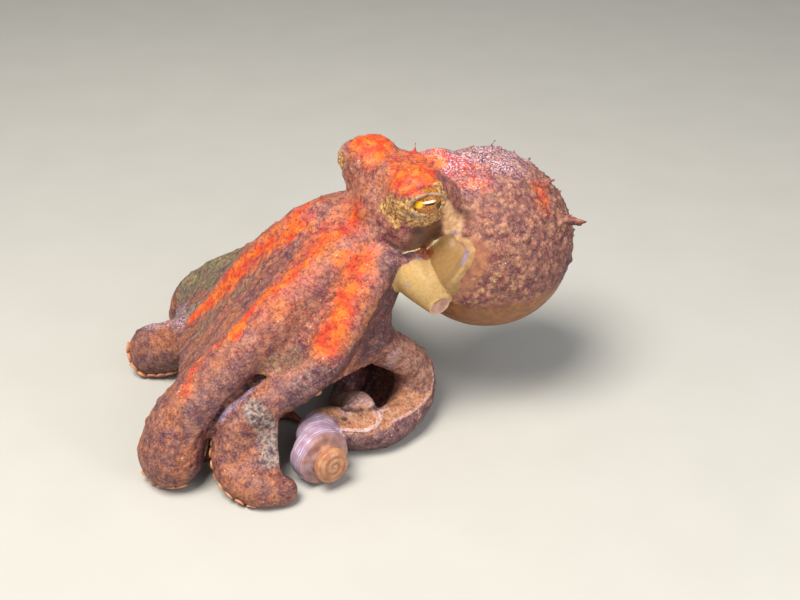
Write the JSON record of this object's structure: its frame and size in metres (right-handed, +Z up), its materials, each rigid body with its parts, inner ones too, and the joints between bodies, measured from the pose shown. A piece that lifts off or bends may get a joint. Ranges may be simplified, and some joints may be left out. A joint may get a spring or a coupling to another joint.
{
  "type": "octopus",
  "caption": "Small red octopus standing on its arms, mantle held up behind the head, siphon out on the left side, arm ends bent and rolled on the floor.",
  "frame": {"origin": "middle of the bounding box in plan, on the floor that the arms stand on", "axes": "+Z up, -Y the way the head faces, +X the animal's left side"},
  "size_m": [0.1263, 0.1446, 0.0911],
  "materials": {
    "red_skin": "wet granular skin, mottled red-orange and purple-brown",
    "brown_skin": "wet granular skin, orange-brown with purple edges",
    "web_skin": "thin wet skin between the arms, streaked red and brown",
    "amber_skin": "smooth translucent amber skin with fine dots",
    "eye": "glossy gold eye with a dark level slit pupil"
  },
  "bodies": {
    "root": {"eye_left": "eye", "eye_right": "eye", "siphon": "amber_skin", "siphon_collar": "amber_skin", "head": "red_skin", "crown": "brown_skin", "mantle": "red_skin", "arm_left_3_roll": "brown_skin", "arm_left_1_base": "red_skin", "arm_left_1_middle": "brown_skin", "arm_left_1_tip": "brown_skin", "arm_left_2_base": "red_skin", "arm_left_2_middle": "brown_skin", "arm_left_2_tip": "brown_skin", "arm_left_3_base": "red_skin", "arm_left_3_middle": "brown_skin", "arm_left_3_tip": "brown_skin", "arm_left_4_base": "red_skin", "arm_left_4_middle": "brown_skin", "arm_left_4_tip": "brown_skin", "arm_right_1_base": "red_skin", "arm_right_1_middle": "brown_skin", "arm_right_1_tip": "brown_skin", "arm_right_2_base": "red_skin", "arm_right_2_middle": "brown_skin", "arm_right_2_tip": "brown_skin", "arm_right_3_base": "red_skin", "arm_right_3_middle": "brown_skin", "arm_right_3_tip": "brown_skin", "arm_right_4_base": "red_skin", "arm_right_4_middle": "brown_skin", "arm_right_4_tip": "brown_skin", "web_front": "web_skin", "web_left_1_2": "web_skin", "web_left_2_3": "web_skin", "web_left_2_fold": "web_skin", "web_left_3_4": "web_skin", "web_back": "web_skin", "web_right_4_3": "web_skin", "web_right_3_2": "web_skin", "web_right_2_1": "web_skin"}
  },
  "joints": []
}
